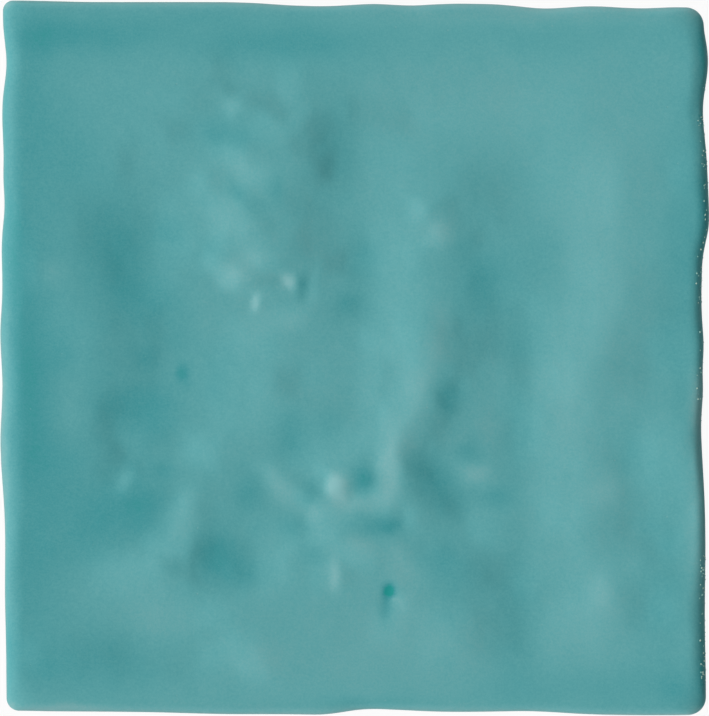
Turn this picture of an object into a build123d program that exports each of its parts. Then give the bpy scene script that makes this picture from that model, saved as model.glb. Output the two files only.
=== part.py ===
"""A square wall tile with a hand-made look, fired as one piece, lying face up on its back.

Lengths are in millimetres. X runs to the right across the face, Y up it and Z out of it. The
origin is on the back, in the middle of the tile.
"""

import math
import os
from typing import NamedTuple

from build123d import *

# The tile's sizes
WIDTH = 129.4  # left side to right side, on average
LENGTH = 130.6  # lower side to upper side, on average
THICKNESS = 10.0  # back to the mean level of the face
EDGE_ROLL = 2.3  # radius with which the face turns down into the sides
BACK_ROUND = 0.5  # radius of the edge around the back
SLAB_HEIGHT = 1.5 * THICKNESS  # of the slab that the face is cut from

# Radius of each corner, seen from above
ROUND_LOWER_LEFT = 2.8
ROUND_LOWER_RIGHT = 3.4
ROUND_UPPER_RIGHT = 3.2
ROUND_UPPER_LEFT = 2.7

# The four sides waver, as slabs cut from soft clay do. Each entry is a place along the side, as a
# share of it from left to right or from bottom to top, and how far the side stands out there.
LOWER_WAVES = (
    (0.053, -0.17), (0.138, -0.09), (0.224, 0.07), (0.312, 0.37), (0.424, 0.44),
    (0.464, 0.35), (0.489, -0.18), (0.515, -0.55), (0.549, -0.52), (0.595, -0.20),
    (0.709, -0.13), (0.755, -0.18), (0.823, 0.31), (0.895, 0.54), (0.959, 0.55),
)
UPPER_WAVES = (
    (0.060, 0.66), (0.110, 0.50), (0.167, 0.48), (0.281, 0.48), (0.359, 0.31),
    (0.409, -0.13), (0.449, -0.30), (0.495, -0.11), (0.531, 0.15), (0.584, -0.17),
    (0.623, 0.09), (0.681, 0.17), (0.723, -0.09), (0.766, -0.68), (0.795, -0.66),
    (0.835, -0.30), (0.920, -0.70), (0.963, -0.48),
)
LEFT_WAVES = (
    (0.040, -0.57), (0.073, -0.55), (0.158, -0.31), (0.260, -0.31), (0.319, 0.13),
    (0.378, 0.54), (0.463, 0.13), (0.540, 0.55), (0.582, 0.20), (0.675, 0.18),
    (0.712, -0.26), (0.752, 0.00), (0.786, -0.07), (0.839, 0.20), (0.876, -0.04),
    (0.913, -0.61), (0.965, -0.04),
)
RIGHT_WAVES = (
    (0.052, 0.30), (0.115, 0.13), (0.237, 0.20), (0.313, -0.07), (0.384, -0.54),
    (0.424, -0.54), (0.460, -0.22), (0.489, -0.31), (0.518, -0.11), (0.568, -0.46),
    (0.624, -0.46), (0.656, -0.15), (0.689, 0.79), (0.713, 0.91), (0.749, 0.70),
    (0.794, 0.39), (0.839, -0.20), (0.873, -0.18), (0.918, 0.68), (0.946, 0.58),
    (0.968, 0.14),
)

# How far each corner stands out from the mean sides, across and along
OUT_LOWER_LEFT = (-0.70, -0.30)
OUT_LOWER_RIGHT = (0.25, 0.50)
OUT_UPPER_RIGHT = (-0.32, -0.58)
OUT_UPPER_LEFT = (-0.05, 0.78)

# The face is a smooth surface through a net of points
NET_STEP = 4.5  # distance between the points
NET_MARGIN = 6.0  # how far the net reaches past the tile


class Swell(NamedTuple):
    """A soft rise of the face, or a hollow where its height is negative."""

    across: float  # place from the middle, as a share of the tile's width
    along: float  # place from the middle, as a share of the tile's length
    reach: float  # from the middle of the swell to its flank, lengthwise
    spread: float  # the same, sideways
    turn: float  # degrees from the Y axis to the swell's length, anticlockwise
    height: float

    def at(self, x, y):
        """The height that the swell adds at a point of the face."""
        turn = math.radians(self.turn)
        dx = x - self.across * WIDTH
        dy = y - self.along * LENGTH
        lengthwise = dy * math.cos(turn) - dx * math.sin(turn)
        sideways = dx * math.cos(turn) + dy * math.sin(turn)
        return self.height * math.exp(-((lengthwise / self.reach) ** 2) - (sideways / self.spread) ** 2)


SWELLS = (
    # the ridges near the left side, and the low ground below them
    Swell(-0.371, 0.038, 8.0, 5.5, 0.0, 0.30),
    Swell(-0.440, 0.191, 7.0, 7.0, 0.0, 0.18),
    Swell(-0.425, -0.322, 6.0, 9.0, 0.0, -0.32),
    Swell(-0.425, -0.421, 5.5, 8.0, 0.0, 0.30),
    Swell(-0.247, -0.413, 6.0, 11.0, 25.0, -0.36),
    # the wide hollow in the left half
    Swell(-0.286, 0.184, 10.0, 6.5, 0.0, -0.80),
    Swell(-0.232, 0.015, 10.0, 7.5, 0.0, -0.72),
    Swell(-0.278, -0.115, 5.5, 7.5, 0.0, -0.34),
    # the knobbly ridge left of the middle
    Swell(-0.147, 0.199, 10.0, 6.5, 25.0, 0.76),
    Swell(-0.093, 0.291, 8.0, 6.5, -20.0, 0.70),
    Swell(-0.116, -0.077, 7.0, 10.0, 0.0, 0.22),
    # the hollow between it and the long ridge
    Swell(0.000, 0.184, 6.5, 6.5, 0.0, -0.66),
    Swell(0.023, 0.322, 6.0, 6.0, 0.0, -0.30),
    Swell(0.015, 0.092, 6.0, 5.5, 0.0, -0.30),
    # the long ridge right of the middle, and its foot that bends to the left
    Swell(0.116, 0.184, 14.0, 6.5, 0.0, 0.46),
    Swell(0.108, 0.031, 7.5, 6.5, 0.0, 0.90),
    Swell(0.085, -0.077, 8.0, 5.5, -15.0, 0.46),
    Swell(0.054, -0.184, 5.5, 7.5, 0.0, 0.46),
    # the long hollow beside it
    Swell(0.278, 0.260, 7.0, 9.0, 0.0, -0.64),
    Swell(0.247, 0.130, 11.0, 7.5, 0.0, -0.36),
    Swell(0.240, 0.023, 6.0, 6.0, 0.0, -0.42),
    Swell(0.201, -0.138, 9.5, 8.5, 0.0, -0.56),
    Swell(0.255, -0.329, 8.5, 7.5, 0.0, -0.72),
    # the ridge near the right side
    Swell(0.371, 0.100, 15.0, 6.5, 0.0, 0.36),
    Swell(0.332, -0.031, 7.0, 6.0, 0.0, 0.34),
    Swell(0.340, -0.214, 10.0, 7.0, 0.0, 0.62),
    Swell(0.371, -0.352, 7.0, 6.5, 0.0, 0.34),
    Swell(0.425, 0.008, 6.0, 6.5, 0.0, -0.20),
    Swell(0.471, -0.115, 7.5, 6.0, 0.0, 0.30),
    # the lump in the lower left, and the bank that runs from it to the right
    Swell(-0.263, -0.283, 7.0, 6.5, 0.0, 0.62),
    Swell(-0.155, -0.352, 5.5, 10.0, 0.0, 0.52),
    Swell(-0.155, -0.256, 6.0, 6.0, 0.0, -0.48),
    Swell(0.046, -0.291, 6.0, 13.0, 0.0, 0.42),
    Swell(0.155, -0.383, 7.0, 6.5, 0.0, 0.22),
)


def net_places(size):
    """Places of the net's points over one of the tile's sizes, margins included."""
    reach = size / 2 + NET_MARGIN
    count = math.ceil(2 * reach / NET_STEP)
    return [-reach + 2 * reach * number / count for number in range(count + 1)]


def side_points(start, end, outward, waves):
    """Points of a side from one mean corner to the other, moved out by its waves."""
    return [start + (end - start) * share + outward * out for share, out in waves]


# Corners of the mean square, and the corners as they stand
right = Vector(1, 0)
up = Vector(0, 1)
mean_upper_right = Vector(WIDTH / 2, LENGTH / 2)
mean_lower_right = Vector(WIDTH / 2, -LENGTH / 2)
mean_upper_left = -mean_lower_right
mean_lower_left = -mean_upper_right
lower_left = mean_lower_left - right * OUT_LOWER_LEFT[0] - up * OUT_LOWER_LEFT[1]
lower_right = mean_lower_right + right * OUT_LOWER_RIGHT[0] - up * OUT_LOWER_RIGHT[1]
upper_right = mean_upper_right + right * OUT_UPPER_RIGHT[0] + up * OUT_UPPER_RIGHT[1]
upper_left = mean_upper_left - right * OUT_UPPER_LEFT[0] + up * OUT_UPPER_LEFT[1]

lower_points = side_points(mean_lower_left, mean_lower_right, -up, LOWER_WAVES)
upper_points = side_points(mean_upper_left, mean_upper_right, up, UPPER_WAVES)
left_points = side_points(mean_lower_left, mean_upper_left, -right, LEFT_WAVES)
right_points = side_points(mean_lower_right, mean_upper_right, right, RIGHT_WAVES)

# The face with its swells
net = [
    [(x, y, THICKNESS + sum(swell.at(x, y) for swell in SWELLS)) for y in net_places(LENGTH)]
    for x in net_places(WIDTH)
]
face_surface = Face.make_surface_from_array_of_points(net)

with BuildPart() as wall_tile:
    # The slab, thick enough to reach above the face everywhere
    with BuildSketch():
        with BuildLine():
            Spline(lower_left, *lower_points, lower_right)
            Spline(lower_right, *right_points, upper_right)
            Spline(upper_left, *upper_points, upper_right)
            Spline(lower_left, *left_points, upper_left)
        make_face()
    extrude(amount=SLAB_HEIGHT)

    # Rounded corners
    for corner, radius in (
        (lower_left, ROUND_LOWER_LEFT),
        (lower_right, ROUND_LOWER_RIGHT),
        (upper_right, ROUND_UPPER_RIGHT),
        (upper_left, ROUND_UPPER_LEFT),
    ):
        fillet(wall_tile.edges().filter_by(Axis.Z).sort_by_distance(corner)[0], radius=radius)

    # The face, rolled down into the sides, and the edge around the flat back
    split(bisect_by=face_surface, keep=Keep.BOTTOM)
    fillet(wall_tile.faces().sort_by(Axis.Z)[-1].edges(), radius=EDGE_ROLL)
    fillet(wall_tile.faces().sort_by(Axis.Z)[0].edges(), radius=BACK_ROUND)

wall_tile.part.label = "wall_tile"
os.makedirs("parts", exist_ok=True)
export_step(wall_tile.part, "parts/wall_tile.step")
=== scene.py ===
"""Dresses a wall tile with a hand-made look: uneven glazed face, rolled edges, bare clay below, and a stage.

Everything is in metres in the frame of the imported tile: X to the right across the face, Y up it, Z out of it.
Places and sizes on the face are given in millimetres from the middle of the tile.
"""

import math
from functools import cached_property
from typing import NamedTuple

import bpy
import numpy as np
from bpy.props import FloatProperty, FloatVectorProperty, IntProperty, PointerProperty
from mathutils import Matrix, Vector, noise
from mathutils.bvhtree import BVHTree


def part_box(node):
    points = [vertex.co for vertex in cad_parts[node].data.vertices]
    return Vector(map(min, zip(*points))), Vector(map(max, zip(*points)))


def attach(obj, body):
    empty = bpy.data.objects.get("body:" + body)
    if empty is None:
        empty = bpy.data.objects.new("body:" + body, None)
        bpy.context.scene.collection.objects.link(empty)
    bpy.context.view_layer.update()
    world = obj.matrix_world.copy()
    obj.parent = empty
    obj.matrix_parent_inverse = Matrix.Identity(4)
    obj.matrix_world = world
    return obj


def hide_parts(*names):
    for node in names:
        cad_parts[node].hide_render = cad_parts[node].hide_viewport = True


bl_info = {
    "name": "Hand-made Wall Tile",
    "version": (1, 0, 0),
    "blender": (4, 5, 0),
    "location": "View3D > Sidebar > Wall Tile",
    "description": "Makes a glazed wall tile with an uneven face, and a stage to show it on",
    "category": "Add Mesh",
}

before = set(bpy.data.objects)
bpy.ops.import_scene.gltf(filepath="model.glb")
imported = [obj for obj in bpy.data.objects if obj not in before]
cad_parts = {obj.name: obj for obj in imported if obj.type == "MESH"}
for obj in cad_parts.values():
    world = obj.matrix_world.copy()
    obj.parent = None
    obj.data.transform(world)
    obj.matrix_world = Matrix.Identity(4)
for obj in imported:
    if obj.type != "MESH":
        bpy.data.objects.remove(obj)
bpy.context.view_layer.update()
TILE_LOW, TILE_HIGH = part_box("wall_tile")
MM = 0.001
FACE_LEVEL = TILE_LOW.z + 10.0 * MM  # mean height of the glazed face


class TileShape(bpy.types.PropertyGroup):
    """Sizes of the tile's edges and of the mesh that carries its face."""

    roll_width: FloatProperty(
        name="Roll Width", description="How far in from the side the face starts to turn down",
        default=3.3 * MM, min=0.5 * MM, unit="LENGTH")
    roll_drop: FloatProperty(
        name="Roll Drop", description="How far the face has turned down where it meets the side",
        default=2.4 * MM, min=0.5 * MM, unit="LENGTH")
    roll_waver: FloatProperty(
        name="Roll Waver", description="How much the roll's width changes along the side, as a share of it",
        default=0.16, min=0.0, max=0.5, subtype="FACTOR")
    corner_radii: FloatVectorProperty(
        name="Corner Radii",
        description="Radii of the lower left, lower right, upper right and upper left corners",
        default=(2.4 * MM, 3.3 * MM, 3.4 * MM, 1.9 * MM), size=4, min=0.5 * MM, unit="LENGTH")
    glaze_line: FloatProperty(
        name="Glaze Line", description="Mean height of the glaze's lower edge above the back",
        default=2.4 * MM, min=0.0, unit="LENGTH")
    glaze_waver: FloatProperty(
        name="Glaze Waver", description="How far the glaze's lower edge wavers up and down",
        default=1.1 * MM, min=0.0, unit="LENGTH")
    glaze_thickness: FloatProperty(
        name="Glaze Thickness", description="How far the glaze stands out from the bare clay",
        default=0.22 * MM, min=0.0, unit="LENGTH")
    mesh_step: FloatProperty(
        name="Mesh Step", description="Distance between the mesh's lines on the face",
        default=0.5 * MM, min=0.2 * MM, unit="LENGTH")
    roll_steps: IntProperty(
        name="Roll Steps", description="Lines of the mesh across the rolled edge", default=10, min=4)


class TileFinish(bpy.types.PropertyGroup):
    """Colours and gloss of the glaze and of the clay under it."""

    # Also a painted highlight, where the depth map thins the glaze on flanks and rims that face the lights
    glaze_thin_and_highlight: FloatVectorProperty(
        name="Thin Glaze", description="Colour where the glaze has run off and is thin",
        default=(0.165, 0.380, 0.388), subtype="COLOR", size=3, min=0.0, max=1.0)
    glaze_even: FloatVectorProperty(
        name="Even Glaze", description="Colour of the glaze at its usual depth",
        default=(0.097, 0.345, 0.360), subtype="COLOR", size=3, min=0.0, max=1.0)
    # Also painted shade, where the depth map deepens the glaze on flanks that face away from the key light
    glaze_deep_and_shade: FloatVectorProperty(
        name="Deep Glaze", description="Colour where the glaze has run together",
        default=(0.047, 0.288, 0.309), subtype="COLOR", size=3, min=0.0, max=1.0)
    # Also painted shade on the right roll, besides the glaze at the bottom of the pit
    glaze_pool_and_shade: FloatVectorProperty(
        name="Pooled Glaze", description="Colour of the glaze at the bottom of a pit",
        default=(0.008, 0.272, 0.256), subtype="COLOR", size=3, min=0.0, max=1.0)
    clay: FloatVectorProperty(
        name="Clay", description="Colour of the bare clay",
        default=(0.60, 0.49, 0.36), subtype="COLOR", size=3, min=0.0, max=1.0)
    glaze_roughness: FloatProperty(
        name="Glaze Roughness", description="Roughness of the satin glaze",
        default=0.58, min=0.0, max=1.0, subtype="FACTOR")
    clay_roughness: FloatProperty(
        name="Clay Roughness", description="Roughness of the bare clay",
        default=0.88, min=0.0, max=1.0, subtype="FACTOR")


class TileGrit(bpy.types.PropertyGroup):
    """The grains that stuck in the glaze along the right rim."""

    density: FloatProperty(
        name="Density", description="Grains on a square metre of the rim where it is gritty",
        default=9.0e5, min=0.0)
    least_size: FloatProperty(
        name="Least Size", description="Radius of the smallest grains",
        default=0.10 * MM, min=0.0, unit="LENGTH")
    most_size: FloatProperty(
        name="Most Size", description="Radius of the largest grains",
        default=0.22 * MM, min=0.0, unit="LENGTH")
    flatness: FloatProperty(
        name="Flatness", description="Height of a grain as a share of its width",
        default=0.6, min=0.1, max=1.0, subtype="FACTOR")
    seed: IntProperty(
        name="Seed", description="Each number strews the grains in other places", default=7)
    cream: FloatVectorProperty(
        name="Cream Grains", description="Colour of the grains that stand out of the glaze",
        default=(0.46, 0.66, 0.56), subtype="COLOR", size=3, min=0.0, max=1.0)
    green: FloatVectorProperty(
        name="Green Grains", description="Colour of the grains with a little glaze on them",
        default=(0.28, 0.60, 0.54), subtype="COLOR", size=3, min=0.0, max=1.0)
    roughness: FloatProperty(
        name="Roughness", description="Roughness of the grains",
        default=0.6, min=0.0, max=1.0, subtype="FACTOR")


class TileStage(bpy.types.PropertyGroup):
    """The floor, the lights and the camera."""

    key_share: FloatProperty(
        name="Key Share", description="Share of the light on the face that comes from the key light",
        default=0.68, min=0.0, max=1.0, subtype="FACTOR")
    key_height: FloatProperty(
        name="Key Height", description="Height of the key light above the floor, as an angle",
        default=math.radians(42), subtype="ANGLE")
    key_heading: FloatProperty(
        name="Key Heading",
        description="Direction that the key light comes from, anticlockwise from the right",
        default=math.radians(180), subtype="ANGLE")
    key_spread: FloatProperty(
        name="Key Spread", description="Angle that the key light fills, seen from the tile",
        default=math.radians(40), subtype="ANGLE")
    fill_share: FloatProperty(
        name="Fill Share",
        description="Share of the light on the face that comes from each of the two fill lights",
        default=0.11, min=0.0, max=0.5, subtype="FACTOR")
    fill_height: FloatProperty(
        name="Fill Height", description="Height of the fill lights above the floor, as an angle",
        default=math.radians(16), subtype="ANGLE")
    fill_spread: FloatProperty(
        name="Fill Spread", description="Angle that each fill light fills, seen from the tile",
        default=math.radians(30), subtype="ANGLE")
    floor_colour: FloatVectorProperty(
        name="Floor Colour", description="Colour of the pale floor",
        default=(0.52, 0.52, 0.52), subtype="COLOR", size=3, min=0.0, max=1.0)
    floor_glow: FloatProperty(
        name="Floor Glow", description="Share of plain white that the camera sees on the floor",
        default=0.95, min=0.0, max=1.0, subtype="FACTOR")
    floor_reach: FloatProperty(
        name="Floor Reach", description="How far the floor reaches to each side",
        default=8.0, min=0.5, unit="LENGTH")
    camera_distance: FloatProperty(
        name="Camera Distance", description="Distance from the camera to the tile's rim",
        default=1.3, min=0.2, unit="LENGTH")
    camera_aim: FloatVectorProperty(
        name="Camera Aim", description="Place beside the tile's middle that the camera looks down on",
        default=(0.1403 * MM, 0.0683 * MM), size=2, unit="LENGTH")
    picture_side: FloatProperty(
        name="Picture Side", description="Length that fits in the longer side of the picture",
        default=132.1736 * MM, min=10.0 * MM, unit="LENGTH")


# How banks end and how the face comes back to its level beside them
BANK_SOFTNESS = 0.5  # how softly a bank ends sideways, as a share of its width
BANK_ENDING = 2.5  # how sharply it ends lengthwise
BANK_FAN = 0.12  # how fast it spreads lengthwise on the way back to the level
LEVELLING_LEAST = 6.0  # reach over which the face comes back to its level beside a narrow bank
LEVELLING_SHARE = 4.0  # what each millimetre of a bank's width adds to that reach


def log_cosh(values):
    """Logarithm of the hyperbolic cosine, safe for large values."""
    return np.logaddexp(values, -values) - math.log(2.0)


class Bank(NamedTuple):
    """A soft bank on the face, which climbs to the right, or falls where its steepness is negative."""

    x: float
    y: float
    across: float  # half its width
    along: float  # half its length, up the face
    steepness: float  # slope in its middle
    lean: float = 0.0  # degrees that its upper end leans to the left

    def at(self, x, y):
        """Height of the bank: an even ramp with soft ends, which levels again to both sides."""
        along = y - self.y
        across = x - self.x + along * math.tan(math.radians(self.lean))
        soft = BANK_SOFTNESS * self.across
        ramp = log_cosh((across + self.across) / soft) - log_cosh((across - self.across) / soft)
        reach = LEVELLING_LEAST + LEVELLING_SHARE * self.across
        level = self.across * np.tanh(across / reach)
        length = self.along + BANK_FAN * (np.hypot(across, self.across) - self.across)
        ending = np.exp(-np.abs(along / length) ** BANK_ENDING)
        return self.steepness * (0.5 * soft * ramp - level) * ending


class Patch(NamedTuple):
    """A soft round or long patch of the face."""

    x: float
    y: float
    across: float  # half its width
    along: float  # half its length
    amount: float  # what it adds in its middle
    turn: float = 0.0  # degrees anticlockwise from a patch that runs up the face

    def at(self, x, y):
        """What the patch adds at each point."""
        turn = math.radians(self.turn)
        dx = x - self.x
        dy = y - self.y
        across = dx * math.cos(turn) + dy * math.sin(turn)
        along = dy * math.cos(turn) - dx * math.sin(turn)
        return self.amount * np.exp(-((across / self.across) ** 2) - (along / self.along) ** 2)


class Ripple(NamedTuple):
    """Smooth random waves over the face, the same on every run."""

    size: float
    strength: float
    seed: float

    def at(self, x, y):
        """What the ripple adds at each point, between about plus and minus its strength."""
        places = zip(x.ravel() / self.size, y.ravel() / self.size)
        values = [noise.noise((across, along, self.seed)) for across, along in places]
        return self.strength * np.array(values).reshape(x.shape)


class Stretch(NamedTuple):
    """A stretch of the right rim with grains in its glaze."""

    low: float
    high: float
    share: float  # of the grains' density


class Cloud(NamedTuple):
    """Soft random clouds in a finish."""

    scale: float  # about how many lie side by side on a metre
    detail: float
    strength: float = 1.0
    middle: float = 0.5  # shade of the cloud that changes nothing
    roughness: float = 0.5


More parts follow.
